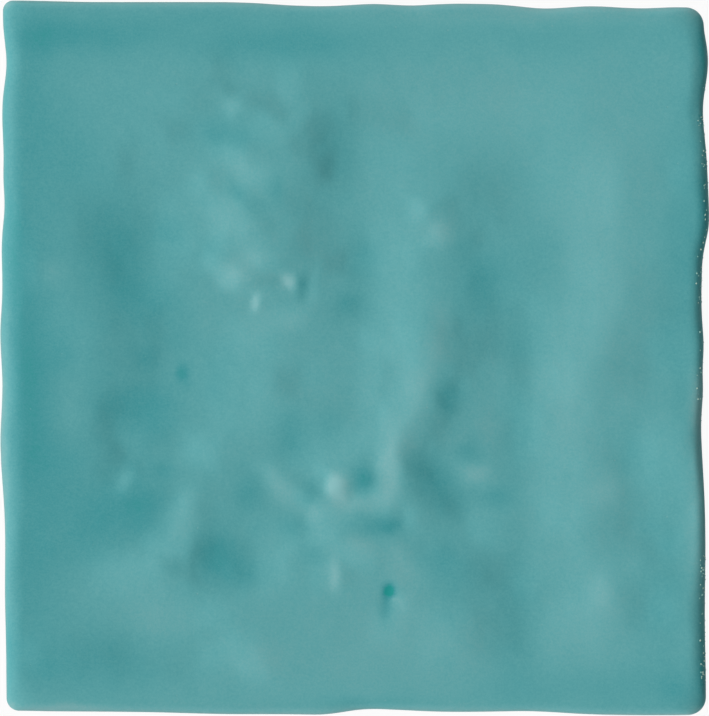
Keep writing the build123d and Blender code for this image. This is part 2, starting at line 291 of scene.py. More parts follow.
# The banks that the ridges, hollows and knobs of the face are made of
BANKS = (
    # beside the left side
    Bank(-62.6, -6.0, 1.1, 60.0, 0.18), Bank(-60.0, 17.0, 1.6, 4.0, 0.10),
    Bank(-60.0, -54.0, 2.0, 3.4, 0.09), Bank(-52.5, 5.0, 4.4, 6.0, 0.04),
    # the wide fall in the left third
    Bank(-44.5, 25.0, 6.5, 5.2, -0.08), Bank(-43.0, 15.0, 3.6, 6.0, -0.09, 5.0),
    Bank(-48.0, 14.0, 4.0, 10.0, -0.05), Bank(-40.5, 4.0, 5.2, 5.5, -0.12),
    Bank(-41.8, 35.6, 2.0, 3.6, -0.09), Bank(-32.8, 22.0, 3.4, 8.0, 0.12),
    Bank(-43.0, -9.6, 4.2, 4.4, -0.08), Bank(-41.0, -3.0, 5.2, 3.6, -0.08),
    Bank(-40.0, -14.5, 2.4, 2.6, 0.05), Bank(-43.9, -17.6, 2.0, 2.3, -0.13, 10.0),
    Bank(-46.2, -20.2, 2.2, 2.4, -0.08), Bank(-46.0, -11.6, 2.2, 4.4, -0.11),
    Bank(-42.3, -23.0, 1.6, 2.2, 0.12, -20.0),
    # the knobbly part left of the middle
    Bank(-23.4, 14.8, 2.0, 2.2, 0.24), Bank(-26.0, 17.8, 2.4, 2.4, 0.18),
    Bank(-19.2, 18.6, 2.0, 2.0, 0.12), Bank(-16.0, 18.0, 1.8, 2.0, 0.10),
    Bank(-23.2, 25.6, 4.0, 4.4, 0.20, 22.0), Bank(-14.4, 27.6, 2.8, 2.8, 0.10, 30.0),
    Bank(-11.8, 24.0, 2.0, 2.2, 0.10), Bank(-25.0, 21.0, 2.4, 2.8, 0.07, 20.0),
    Bank(-19.6, 34.4, 4.0, 3.4, 0.14, 10.0), Bank(-23.6, 38.0, 3.0, 2.2, 0.06),
    Bank(-28.6, 32.6, 2.2, 2.6, 0.12), Bank(-32.0, 42.0, 2.6, 2.6, -0.09),
    Bank(-22.2, 46.4, 1.5, 2.4, 0.13), Bank(-22.4, 49.0, 1.8, 1.6, -0.12),
    Bank(-17.0, 43.5, 1.8, 1.8, 0.07), Bank(-17.6, 47.2, 3.2, 2.4, -0.13),
    Bank(-12.0, 50.8, 2.0, 4.0, 0.08), Bank(2.4, 45.0, 3.0, 3.0, -0.10),
    Bank(-17.2, 37.4, 3.0, 2.0, -0.09), Bank(-13.2, 45.2, 2.0, 2.2, -0.10),
    Bank(-28.0, 48.0, 2.6, 2.6, -0.08), Bank(-11.5, 43.0, 1.8, 2.6, 0.06),
    Bank(-6.2, 42.0, 2.2, 4.0, -0.11), Bank(-10.4, 39.6, 2.4, 3.0, -0.10),
    Bank(-5.4, 35.2, 2.0, 3.2, -0.20), Bank(-4.8, 41.5, 5.4, 9.0, -0.14),
    Bank(-24.4, 53.5, 2.2, 3.4, -0.08), Bank(-20.6, 15.0, 2.2, 3.4, 0.08),
    Bank(-17.5, 28.5, 2.2, 2.2, -0.06), Bank(-10.0, 26.0, 5.4, 6.0, -0.13),
    Bank(-9.2, 20.5, 2.2, 3.6, -0.10), Bank(-2.5, 18.5, 4.0, 5.4, -0.06),
    Bank(-4.0, 18.0, 2.2, 2.6, -0.09), Bank(-1.8, 9.6, 3.4, 3.0, -0.08),
    Bank(-12.0, 14.2, 0.9, 1.4, 0.28), Bank(-9.4, 13.8, 0.9, 2.8, -0.12),
    Bank(-7.5, 13.6, 0.7, 2.6, 0.10), Bank(-18.0, 10.5, 0.8, 1.7, 0.30, -6.0),
    Bank(-12.6, 7.2, 3.2, 2.4, 0.07), Bank(-19.5, 4.0, 5.5, 4.6, 0.09),
    Bank(-12.2, -4.2, 2.4, 3.2, -0.12), Bank(-21.0, -8.0, 6.4, 9.0, 0.09),
    Bank(-28.5, -17.0, 3.0, 3.6, 0.18),
    # the long ridge right of the middle
    Bank(8.2, 18.0, 4.6, 13.0, 0.14), Bank(9.5, 37.0, 4.0, 7.0, 0.02),
    Bank(8.4, 44.0, 2.8, 3.0, -0.10), Bank(9.0, 4.0, 4.2, 5.4, 0.18),
    Bank(2.2, 4.0, 2.0, 2.6, 0.10), Bank(8.0, -6.2, 2.0, 2.6, 0.08),
    Bank(20.0, -2.0, 2.2, 2.4, -0.09), Bank(24.0, 26.0, 2.2, 2.6, 0.07),
    Bank(3.0, -6.0, 2.2, 9.0, 0.12), Bank(1.2, -15.0, 2.6, 2.8, 0.09),
    Bank(-5.6, -17.0, 5.0, 5.0, 0.11), Bank(10.0, -4.0, 2.8, 4.8, 0.16, -10.0),
    Bank(7.4, -12.0, 2.8, 4.0, 0.23, -10.0), Bank(6.4, -19.6, 2.2, 4.6, 0.25, -4.0),
    Bank(5.0, -26.2, 2.6, 2.4, 0.13), Bank(11.6, 27.4, 1.5, 2.1, 0.13, 10.0),
    Bank(14.8, 22.8, 2.2, 2.4, 0.11, -20.0), Bank(17.4, 24.4, 1.8, 2.0, -0.08, -20.0),
    Bank(17.5, 28.5, 2.0, 1.8, -0.08), Bank(24.0, 30.0, 5.0, 6.5, -0.11),
    Bank(21.0, 21.0, 3.2, 4.6, -0.08, -8.0), Bank(23.4, 12.0, 3.2, 4.8, -0.10),
    Bank(17.5, 12.0, 2.4, 7.0, -0.05), Bank(22.0, 2.5, 6.4, 4.0, -0.15),
    Bank(30.2, -1.0, 2.2, 5.0, -0.06), Bank(17.3, -7.6, 2.3, 3.8, -0.18),
    Bank(23.0, -7.0, 3.4, 5.0, -0.05), Bank(11.8, -19.8, 2.4, 4.8, -0.15, 6.0),
    Bank(9.2, -16.5, 1.2, 4.0, -0.08, -8.0), Bank(12.4, -26.6, 1.8, 3.4, -0.10, 12.0),
    Bank(16.0, -13.0, 1.8, 2.8, -0.08), Bank(15.2, -22.5, 1.8, 3.6, -0.06, 20.0),
    Bank(17.0, -27.0, 2.8, 2.8, -0.12, 10.0), Bank(22.0, -21.4, 2.4, 2.2, 0.09),
    Bank(23.8, -31.0, 2.6, 3.0, 0.10), Bank(32.2, -14.0, 2.2, 5.4, 0.13),
    Bank(53.6, -19.0, 3.0, 5.0, 0.08), Bank(11.0, -29.6, 1.6, 2.6, 0.12),
    # the knobs below the middle
    Bank(-3.6, -23.3, 1.5, 2.1, 0.40), Bank(-1.0, -24.4, 1.0, 2.0, -0.12),
    Bank(0.0, -26.2, 1.8, 1.6, 0.10), Bank(-13.6, -23.6, 2.6, 4.2, 0.12, 42.0),
    Bank(-7.4, -28.6, 1.8, 2.0, 0.09), Bank(-4.0, -28.0, 2.4, 1.8, 0.09),
    Bank(-5.0, -30.0, 6.0, 12.0, 0.05), Bank(-5.4, -33.0, 2.4, 2.6, 0.13),
    Bank(-10.0, -34.2, 2.0, 2.2, 0.08), Bank(8.0, -36.0, 2.0, 2.0, 0.05),
    Bank(0.0, -36.0, 3.6, 2.4, 0.11), Bank(-9.0, -24.4, 1.3, 2.0, -0.03, 30.0),
    Bank(-3.8, -40.3, 1.0, 3.2, 0.15), Bank(-6.4, -40.0, 1.6, 3.0, 0.09),
    Bank(8.8, -45.2, 1.6, 2.4, 0.11), Bank(6.0, -50.4, 3.0, 3.0, 0.08),
    Bank(-6.2, -21.6, 1.6, 1.8, 0.10), Bank(-0.6, -40.6, 1.3, 2.6, -0.04),
    # the lump in the lower left
    Bank(-32.0, -27.8, 2.2, 4.4, 0.15, -16.0), Bank(-34.0, -34.0, 4.2, 3.4, 0.07, -20.0),
    Bank(-36.4, -34.0, 2.4, 2.4, 0.07), Bank(-29.4, -37.4, 0.9, 4.2, -0.07),
    Bank(-40.5, -40.0, 7.0, 4.8, 0.10), Bank(-36.5, -47.5, 4.4, 3.2, 0.05),
    Bank(-27.6, -36.0, 2.1, 5.4, -0.13), Bank(-21.6, -37.6, 3.0, 4.2, -0.05),
    Bank(-27.2, -28.2, 1.8, 2.0, -0.05), Bank(-33.0, -38.6, 2.2, 2.2, -0.13),
    Bank(-15.0, -37.0, 3.4, 6.6, 0.12), Bank(-26.5, -47.6, 4.4, 3.4, 0.09),
    Bank(-20.0, -55.5, 2.8, 4.4, 0.14, 20.0), Bank(-46.0, -54.5, 5.6, 4.2, -0.06),
    Bank(-32.0, -57.8, 4.4, 2.6, -0.02), Bank(-26.2, -55.0, 2.8, 2.8, 0.11),
    # the wide hollow and the belt beside the right side
    Bank(25.5, -39.0, 5.0, 3.6, -0.13), Bank(31.2, -42.0, 2.4, 3.0, 0.09),
    Bank(26.0, -49.0, 5.4, 7.0, -0.10), Bank(15.5, -51.0, 4.4, 6.0, 0.06),
    Bank(45.0, 30.0, 4.2, 9.0, 0.12), Bank(38.6, 29.0, 4.0, 9.0, 0.06),
    Bank(44.0, 14.0, 5.0, 7.0, 0.12), Bank(40.5, 5.0, 6.6, 4.4, 0.08),
    Bank(34.6, 8.8, 2.6, 3.0, 0.09), Bank(37.0, 42.0, 6.0, 12.0, 0.06),
    Bank(38.2, -4.0, 4.2, 5.0, 0.17), Bank(38.6, -16.0, 4.6, 6.4, 0.19),
    Bank(37.4, -28.5, 4.4, 7.0, 0.17), Bank(41.0, -46.0, 6.2, 8.5, 0.10),
    Bank(45.4, -42.8, 1.8, 3.2, 0.10, 6.0), Bank(50.0, 0.0, 3.8, 6.0, -0.13),
    Bank(54.0, 12.0, 5.0, 6.0, -0.06), Bank(56.6, -16.4, 3.2, 5.6, 0.18),
    Bank(60.2, -20.0, 2.4, 7.0, 0.08), Bank(43.0, -26.0, 2.8, 6.0, 0.07),
    Bank(46.8, -24.4, 2.4, 3.0, 0.05), Bank(46.5, -15.0, 2.4, 3.0, 0.07),
    Bank(57.6, -26.0, 2.6, 6.0, 0.12), Bank(58.4, -34.0, 2.2, 3.4, 0.11),
    Bank(53.0, -31.5, 5.6, 6.0, -0.05), Bank(52.0, -46.0, 4.0, 5.6, -0.05),
    Bank(56.8, -45.4, 3.0, 4.4, 0.11), Bank(54.4, -24.4, 2.8, 3.4, 0.11),
    Bank(51.6, -15.8, 2.4, 3.2, 0.09), Bank(60.0, 34.0, 2.0, 4.0, 0.09),
    Bank(42.0, -44.4, 2.2, 3.0, 0.08), Bank(42.4, 8.0, 2.6, 3.0, 0.08),
    Bank(54.2, -30.4, 2.4, 3.0, 0.11), Bank(61.2, -27.0, 1.6, 9.0, 0.12),
    Bank(63.4, -22.0, 1.1, 12.0, 0.45), Bank(63.0, 50.0, 1.0, 11.0, -0.22),
    Bank(63.0, -52.0, 1.0, 9.0, -0.16),
)

# Hollows pressed into the face, by their depth
DIMPLES = (
    Patch(6.5, -42.9, 1.2, 1.5, 0.13), Patch(6.1, -46.5, 1.0, 2.0, 0.06, -6.0),
)

# Where the glaze has run together and is deeper, or has run off where the amount is negative. Partly painted
# light and shade too: thinner, paler glaze on flanks and rims that face the key light is a painted highlight,
# and deeper, darker glaze on flanks that face away and on the right roll is painted shade
POOLS_AND_PAINTED_LIGHT = (
    # inside the rim
    Patch(-62.0, 6.0, 20.0, 66.0, 0.08), Patch(-60.5, 24.0, 5.0, 42.0, 0.12),
    Patch(-59.0, 46.0, 4.0, 9.0, 0.08), Patch(-59.8, -5.0, 3.6, 16.0, 0.18),
    Patch(-59.5, -38.0, 5.2, 18.0, 0.15), Patch(-57.6, 59.0, 5.0, 3.8, 0.13),
    Patch(-48.0, 59.8, 15.0, 3.8, 0.24), Patch(-13.0, 58.2, 17.0, 3.8, 0.25),
    Patch(38.0, 59.2, 28.0, 3.6, 0.08), Patch(62.0, 60.0, 3.6, 4.2, 0.03),
    Patch(61.6, 24.0, 4.2, 24.0, 0.17), Patch(60.0, -7.0, 2.0, 5.0, 0.06),
    Patch(57.0, -44.0, 4.6, 18.0, 0.11), Patch(58.4, -34.0, 2.2, 3.4, 0.07),
    Patch(54.2, -30.4, 2.4, 3.0, 0.06), Patch(60.0, -61.0, 3.4, 3.2, 0.16),
    Patch(44.0, -61.0, 18.0, 4.0, 0.11), Patch(-57.0, -57.4, 3.4, 3.0, 0.10),
    Patch(-47.0, -56.0, 11.0, 5.8, 0.17), Patch(-30.0, -57.8, 7.0, 3.0, 0.02),
    # The negative patches at the very edge of the left, upper and lower rim make these lit rims paler: partly
    # thin glaze, partly painted sheen
    Patch(3.0, -63.5, 9.0, 1.4, 0.16), Patch(-64.4, -12.0, 0.9, 24.0, -0.30),
    Patch(-62.8, 21.0, 1.8, 16.0, 0.16), Patch(-62.8, -55.0, 1.8, 7.0, 0.14),
    Patch(-27.0, 62.8, 7.0, 1.8, 0.12), Patch(33.0, 63.2, 24.0, 1.8, -0.12),
    Patch(-53.5, -64.4, 7.0, 0.8, -0.25),
    # the left third
    Patch(-45.0, -12.0, 3.4, 6.0, 0.05), Patch(-55.0, -19.0, 6.0, 6.0, 0.14),
    Patch(-50.0, -36.0, 6.0, 3.4, 0.10), Patch(-36.0, -13.0, 4.0, 4.0, 0.10),
    Patch(-38.6, -30.0, 3.6, 2.4, 0.12), Patch(-40.0, -23.0, 5.0, 6.0, 0.12),
    Patch(-44.0, -2.0, 16.0, 42.0, 0.06), Patch(-55.5, 15.5, 2.6, 2.6, -0.17),
    Patch(-52.0, -9.0, 2.8, 7.5, -0.09), Patch(-43.0, 20.0, 6.4, 9.0, 0.20, 10.0),
    Patch(-42.2, 12.0, 3.0, 4.4, 0.09), Patch(-36.0, 10.0, 5.0, 4.0, 0.15),
    Patch(-34.0, 24.0, 2.6, 3.0, 0.11), Patch(-39.0, -8.5, 6.5, 4.0, 0.21),
    Patch(-38.2, 0.2, 3.0, 2.8, 0.17), Patch(-54.0, 1.0, 3.0, 3.6, 0.13),
    Patch(-42.3, -22.6, 1.6, 1.9, -0.17), Patch(-46.0, -29.0, 9.0, 5.6, 0.20),
    Patch(-37.6, -26.2, 3.6, 2.4, 0.12), Patch(-35.0, -20.6, 2.0, 1.6, 0.14),
    Patch(-31.2, -3.0, 1.2, 1.9, 0.38), Patch(-24.6, -3.4, 3.0, 6.0, 0.11),
    Patch(-32.0, 4.0, 3.0, 3.0, 0.10), Patch(-52.0, 37.0, 5.4, 7.0, 0.12),
    # left of the middle
    Patch(-25.0, 42.3, 5.2, 2.4, 0.15), Patch(-21.0, 40.0, 2.6, 2.0, 0.14),
    Patch(-26.0, 40.0, 2.4, 2.0, 0.10), Patch(-26.0, 20.0, 2.4, 2.6, 0.11),
    Patch(-21.6, 30.6, 1.4, 2.4, 0.22, 40.0), Patch(-14.2, 31.2, 1.2, 2.4, 0.16),
    Patch(-17.6, 27.6, 2.0, 1.6, 0.10), Patch(-3.6, 38.6, 4.4, 8.6, 0.13),
    Patch(-22.2, 46.4, 1.8, 2.4, -0.07), Patch(-20.0, 34.6, 3.4, 3.0, -0.08),
    # Partly painted highlight and shade: the glaze thins to its palest on the lit left flanks of the small
    # bubble and the knobs beside it, and deepens on their shaded right flanks
    Patch(-23.0, 26.0, 4.0, 4.0, -0.08, 20.0), Patch(-22.4, 15.2, 2.6, 2.2, -0.12),
    Patch(-19.0, 18.2, 3.6, 2.2, -0.10), Patch(-12.0, 14.2, 1.2, 1.5, -0.36),
    Patch(-9.4, 13.6, 1.1, 2.4, 0.22), Patch(-18.0, 10.5, 0.9, 1.8, -0.22),
    Patch(-12.0, 6.6, 3.2, 2.2, -0.10), Patch(-17.5, 5.5, 2.2, 3.0, -0.08),
    Patch(-0.6, 9.8, 3.0, 2.6, 0.18), Patch(1.6, 18.6, 3.2, 5.0, 0.19),
    Patch(-20.0, 14.0, 6.0, 7.0, -0.06), Patch(-11.4, -14.2, 3.6, 4.6, 0.20),
    Patch(-4.5, -12.5, 2.6, 3.2, 0.12),
    # right of the middle
    Patch(18.0, 47.0, 12.0, 8.0, -0.05), Patch(28.0, 16.0, 10.0, 12.0, 0.10),
    Patch(23.6, 13.4, 4.2, 5.0, 0.16), Patch(20.2, 20.6, 2.4, 2.4, 0.08),
    Patch(35.0, 20.0, 2.6, 4.0, 0.06), Patch(30.4, 2.2, 2.6, 4.0, 0.09),
    Patch(12.0, 27.5, 1.6, 2.2, -0.04), Patch(15.8, 23.2, 2.8, 2.6, -0.19),
    Patch(16.0, 2.0, 2.0, 3.0, -0.11), Patch(16.0, 8.2, 2.0, 3.0, -0.11),
    Patch(10.4, -5.0, 2.6, 4.6, -0.09, -10.0), Patch(13.2, -3.0, 1.7, 11.0, -0.09, -17.0),
    Patch(18.0, -27.0, 3.0, 2.4, 0.08), Patch(18.0, -42.0, 4.6, 6.0, 0.09),
    # Partly painted highlight and shade: thinner glaze on the lit left flank of the ridge, deeper glaze on its
    # shaded right side
    Patch(6.9, -18.0, 2.1, 6.4, -0.26, -4.0), Patch(17.8, -7.2, 2.2, 3.6, 0.24),
    Patch(14.4, -22.2, 3.6, 7.0, 0.25, 35.0), Patch(10.6, -15.2, 2.2, 3.6, -0.12, -10.0),
    Patch(22.2, -21.4, 2.4, 1.6, -0.22), Patch(21.0, -17.0, 2.0, 1.6, 0.17),
    Patch(24.0, -12.0, 2.4, 2.4, -0.10), Patch(26.6, -25.6, 3.0, 1.8, 0.19),
    Patch(30.0, -13.0, 2.4, 10.0, 0.10), Patch(15.4, -37.0, 4.4, 3.0, 0.14),
    Patch(22.0, -40.0, 6.0, 4.0, 0.05), Patch(29.4, -48.0, 4.2, 14.0, 0.14),
    Patch(30.0, 48.0, 8.0, 8.0, -0.06),
    # below the middle
    Patch(-19.2, -25.0, 3.0, 4.0, 0.21), Patch(-13.8, -23.6, 2.4, 5.0, -0.15, 42.0),
    # Partly painted highlight and shade: the glaze thins to its palest on the lit left flank of the knob and
    # deepens beside it on the right
    Patch(-3.2, -23.3, 1.3, 1.7, -0.46), Patch(-1.8, -23.2, 1.5, 2.2, -0.15),
    Patch(-2.6, -25.6, 1.8, 1.6, -0.14), Patch(-8.2, -23.6, 1.6, 1.6, 0.10),
    Patch(-7.6, -28.4, 2.0, 1.8, -0.13), Patch(1.4, -26.8, 5.0, 1.6, -0.12),
    Patch(-8.0, -26.0, 2.2, 1.7, 0.15), Patch(-17.4, -32.0, 1.9, 5.6, 0.07, -45.0),
    Patch(1.7, -22.1, 2.0, 2.8, 0.40), Patch(4.0, -31.0, 5.0, 2.3, 0.24),
    Patch(1.8, -34.0, 2.6, 1.8, -0.15), Patch(6.8, -30.8, 2.2, 1.7, 0.20),
    Patch(-10.8, -31.0, 2.8, 2.2, 0.18), Patch(-7.6, -36.2, 2.4, 2.2, 0.13),
    # Partly painted highlight: thinner glaze on the lit left flank of the lower knob; the pit beside it holds
    # pooled glaze
    Patch(-3.8, -40.3, 1.1, 2.8, -0.24), Patch(6.5, -43.0, 1.2, 1.4, 1.00),
    Patch(6.1, -46.4, 1.2, 2.2, 0.28, -4.0), Patch(7.6, -44.8, 0.5, 0.5, -0.25),
    Patch(8.0, -53.0, 18.0, 9.0, -0.09), Patch(9.6, -39.0, 3.4, 3.4, -0.14),
    Patch(9.2, -45.4, 1.8, 2.4, -0.08), Patch(8.0, -36.0, 2.0, 2.0, -0.07),
    Patch(6.4, -24.2, 1.8, 2.2, -0.11), Patch(0.0, -33.0, 7.0, 8.0, -0.07),
    # the lump in the lower left
    Patch(-31.8, -30.0, 2.6, 6.0, -0.09, -18.0), Patch(-25.2, -36.0, 4.4, 5.4, 0.34),
    Patch(-20.0, -40.0, 3.0, 3.0, 0.20), Patch(-33.0, -38.6, 2.0, 2.0, 0.08),
    Patch(-40.0, -41.0, 7.0, 5.0, -0.07), Patch(-36.5, -48.0, 6.0, 3.2, -0.14),
    Patch(-17.0, -55.6, 4.6, 3.4, -0.11),
    # the belt beside the right side
    Patch(38.0, 42.0, 7.0, 16.0, 0.04), Patch(43.0, 5.0, 9.0, 62.0, -0.05),
    Patch(58.0, 2.0, 4.0, 5.0, 0.09), Patch(45.0, 32.0, 4.6, 6.0, -0.04),
    Patch(38.4, -9.0, 3.6, 10.0, -0.08), Patch(45.3, -43.0, 2.2, 3.4, -0.12),
    Patch(45.5, -24.8, 3.6, 3.4, -0.12), Patch(45.0, 24.0, 14.0, 26.0, -0.04),
    Patch(58.6, 15.0, 3.0, 8.0, 0.06), Patch(44.0, -50.0, 7.0, 6.0, -0.07),
    # Painted shade and light on the right roll: the deeper, darker strips at the very edge stand for the shade
    # on the roll that faces away from the key light, and the thinner ones lighten it where it should read
    # lighter
    Patch(51.0, -17.4, 3.2, 4.4, 0.10), Patch(64.9, 24.0, 1.3, 32.0, 0.26),
    Patch(64.4, 56.0, 1.0, 6.0, 0.28), Patch(64.2, 41.0, 0.8, 6.0, -0.24),
    Patch(64.4, -56.0, 1.2, 9.0, 0.30), Patch(63.6, -8.0, 1.8, 6.0, -0.34),
    Patch(63.2, -33.0, 2.0, 11.0, -0.15), Patch(63.4, -20.0, 1.8, 7.0, -0.12),
)

# Where the rolled edge is narrower, by which share of its width
TIGHT_ROLLS = (
    Patch(64.0, 41.0, 8.0, 6.5, 0.24), Patch(64.0, -25.0, 8.0, 10.5, 0.32),
    Patch(64.0, -5.0, 8.0, 42.0, 0.08),
)

# The face and its glaze
RELIEF_STRENGTH = 1.2  # how strongly the banks stand out
# The glaze's depth that this scales also carries painted light and shade
POOL_AND_SHADE_STRENGTH = 1.1  # how strongly the glaze's depth changes
EVEN_DEPTH = 0.36  # the glaze's usual depth, from 0 where it has run off to 1 at the bottom of a pit
DEEP_DEPTH = 0.72  # its depth where it has run together
SIDE_DEPTH = 0.25  # its depth on the sides
# The paler rim is partly thin glaze and partly a painted sheen on the lit sides: the right side, which faces
# away from the key light, gets none
RIM_THIN_WIDTH = 0.6  # width of the rim that the glaze has run off
RIM_THINNING_AND_PAINTED_SHEEN = (0.28, 0.0, 0.30, 0.36)  # by how much, on the left, right, lower and upper rim
RIM_CALM_WIDTH = 1.6  # width of the rim on which the relief dies away
RIM_CALM = 0.85  # share of the relief that is gone at the side
WAVER_ACROSS = (Ripple(7.0, 0.7, 41.0), Ripple(2.6, 0.3, 43.0))  # moves banks and pools about sideways
WAVER_ALONG = (Ripple(7.0, 0.7, 47.0), Ripple(2.6, 0.3, 53.0))  # and lengthwise
FACE_RIPPLES = (Ripple(9.0, 0.030, 3.0), Ripple(3.2, 0.010, 7.0))
DEPTH_RIPPLES = (Ripple(14.0, 0.03, 11.0), Ripple(5.0, 0.03, 17.0))
ROLL_RIPPLE = Ripple(11.0, 1.0, 23.0)
GLAZE_LINE_RIPPLE = Ripple(6.0, 1.0, 31.0)

# The corners, the rolled edge and the side
CORNER_ZONE = 8.0 * MM  # how far in from the sides the mesh's lines bend around a corner
CORNER_SOFTENING = 1.2  # what each millimetre further in adds to the radius of a bend
CORNER_CLEAR = 3.6 * MM  # end of a side that is left out where the CAD tile's side is looked for
PROBE_HEIGHT = 0.4  # where it is looked for, as a share of the CAD tile's height
SIDE_SMOOTHING = 4  # points to each side over which the side that was found is smoothed
ROLL_TIGHTNESS = 3.0  # 2 for an even curve, and more for one that is tighter towards the side
TIGHT_DROP = 1.6  # how much less a narrower roll turns down, beside how much narrower it is
GLAZED_ROWS = (0.85, 0.68, 0.5, 0.33, 0.18, 0.06)  # shares of the way up from the glaze's lower edge
LIP_INSET = 0.35  # how far the glaze's lip is rounded in, as a share of its thickness
LIP_DROP = 0.10 * MM  # from the glaze's lower edge down to the row of points in its lip
LIP_BARENESS = 0.3  # how much of the clay shows through the lip
CLAY_DROP = 0.22 * MM  # from the glaze's lower edge down to the bare clay
BARE_ROWS = (0.75, 0.5)  # shares of the way up to the glaze's lower edge
BACK_EDGE = ((0.0, 0.5), (0.15, 0.15), (0.5, 0.0), (2.0, 0.0))  # how far in and how high its rows are
TINY = 1e-9  # keeps divisors off zero

# The finishes
GLAZE_MOTTLES = (Cloud(420.0, 3.0, 0.10), Cloud(1500.0, 2.0, 0.20), Cloud(3000.0, 1.0, 0.26))
GLAZE_PEEL = (Cloud(300.0, 2.0), Cloud(1100.0, 2.0, 0.35))  # the slight orange peel of its surface
PEEL_HEIGHT = 0.06 * MM
GLOSS_CLOUDS = (Cloud(180.0, 2.0, 0.10),)
STAIN_CLOUDS = (Cloud(1900.0, 2.0, 0.5, middle=0.4),)  # where the rim is gritty
CLAY_CLOUD = Cloud(260.0, 5.0, roughness=0.6)
CLAY_SHADES = ((0.3, (0.78, 0.76, 0.74)), (0.7, (1.0, 1.0, 1.0)))
GRIT_CLOUD = Cloud(700.0, 2.0)
GRIT_GREEN_UNDER = 0.4  # shade of the cloud up to which the grains are green
GRIT_CREAM_OVER = 0.6  # shade from which they are cream
GLAZE_IOR = 1.5
GLAZE_SPECULAR = 0.25
DOT_SCALE = 520.0  # about how many cells, some of which hold a dot, lie side by side on a metre
DOT_SHARE = 0.045  # share of the cells that hold one
DOT_SIZE = 0.10  # radius of a dot, as a share of its cell
DOT_THINNING = 0.18  # how much thinner the glaze is on a dot
DOT_PIT = 0.6  # depth of a dot, as a share of the orange peel's height

# Where grains stuck in the glaze along the right rim
GRITTY = (
    Stretch(-60.5, -56.0, 1.2),
    Stretch(-56.0, -45.0, 0.6),
    Stretch(-45.0, -35.0, 1.0),
    Stretch(-11.5, 5.0, 0.45),
    Stretch(10.2, 17.0, 0.8),
    Stretch(17.5, 29.5, 0.6),
    Stretch(31.5, 33.0, 1.5),
    Stretch(35.0, 42.0, 1.2),
    Stretch(42.6, 45.2, 2.6),
    Stretch(49.4, 50.8, 0.8),
)
GRITTY_WIDTH = 1.25  # how far in from the side the grains reach

# The stage
RIM_DROP = 2.5 * MM  # from the face down to the rim, where the camera's distance is measured
CAMERA_NEAREST = 0.01  # nearest that the camera sees


def total(things, x, y):
    """What banks, patches or ripples add up to at each point."""
    return sum(thing.at(x, y) for thing in things)


def wavered(x, y):
    """The places moved about a little, so that no bank or pool has an even outline."""
    return x + total(WAVER_ACROSS, x, y), y + total(WAVER_ALONG, x, y)


def face_relief(x, y):
    """Height of the face above its level, in millimetres."""
    x, y = wavered(x, y)
    return RELIEF_STRENGTH * total(BANKS, x, y) - total(DIMPLES, x, y) + total(FACE_RIPPLES, x, y)


def glaze_depth(x, y, insets):
    """Depth of the glaze at points with the given distances in from the four sides, with painted light and
    shade in it: thinner where a flank or rim faces the lights, deeper where it faces away.
    """
    depth = EVEN_DEPTH + total(DEPTH_RIPPLES, x, y) + POOL_AND_SHADE_STRENGTH * total(POOLS_AND_PAINTED_LIGHT, *wavered(x, y))
    # Paler glaze along the rims: partly thin glaze, partly painted sheen on the sides that face the lights
    for inset, thinning in zip(insets, RIM_THINNING_AND_PAINTED_SHEEN):
        depth -= thinning * np.exp(-((inset / RIM_THIN_WIDTH) ** 2))
    return depth


def grittiness(y, inset):
    """How thickly grains lie on the right rim, as a share of their density."""
    share = np.zeros_like(y)
    for stretch in GRITTY:
        share += stretch.share * ((y > stretch.low) & (y < stretch.high))
    return share * (inset < GRITTY_WIDTH)


def mesh_lines(size, shape):
    """Distances of the mesh's lines from one side of the tile to the other, close together on the rolls."""
    angles = np.linspace(0.0, math.pi / 2, shape.roll_steps + 1)
    roll = shape.roll_width * (1.0 - np.cos(angles))
    count = math.ceil((size - 2 * shape.roll_width) / shape.mesh_step)
    middle = np.linspace(shape.roll_width, size - shape.roll_width, count + 1)
    return np.concatenate([roll[:-1], middle, size - roll[-2::-1]])


def round_corners(x, y, size_x, size_y, radii):
    """Moves the lines of a square net so that its corners are round outside and softer further in."""
    right = x > size_x / 2
    upper = y > size_y / 2
    from_x = np.where(right, size_x - x, x)
    from_y = np.where(upper, size_y - y, y)
    radius = np.where(upper, np.where(right, radii[2], radii[3]), np.where(right, radii[1], radii[0]))

    # Each line becomes a straight part and an eighth of a circle on either side of the corner's middle
    ring = np.minimum(from_x, from_y)
    inside = (from_x < CORNER_ZONE) & (from_y < CORNER_ZONE)
    reach = CORNER_ZONE - ring
    rounding = np.minimum(radius + CORNER_SOFTENING * ring, reach)
    straight = reach - rounding
    share = np.where(inside, (CORNER_ZONE - np.maximum(from_x, from_y)) / np.maximum(reach, TINY), 0.0)
    walked = share * (straight + rounding * math.pi / 4)

    # Points walk along it as far as they did along the square's side
    on_arc = walked > straight
    angle = np.where(on_arc, (walked - straight) / np.maximum(rounding, TINY), 0.0)
    near = np.where(on_arc, ring + rounding * (1.0 - np.cos(angle)), ring)
    far = np.where(on_arc, ring + rounding * (1.0 - np.sin(angle)), CORNER_ZONE - walked)
    x_is_ring = from_x <= from_y
    new_x = np.where(inside, np.where(x_is_ring, near, far), from_x)
    new_y = np.where(inside, np.where(x_is_ring, far, near), from_y)
    return np.where(right, size_x - new_x, new_x), np.where(upper, size_y - new_y, new_y)


def smooth(values, width):
    """Running mean of a row of values."""
    kernel = np.hanning(2 * width + 3)[1:-1]
    padded = np.pad(values, width, mode="edge")
    return np.convolve(padded, kernel / kernel.sum(), "valid")


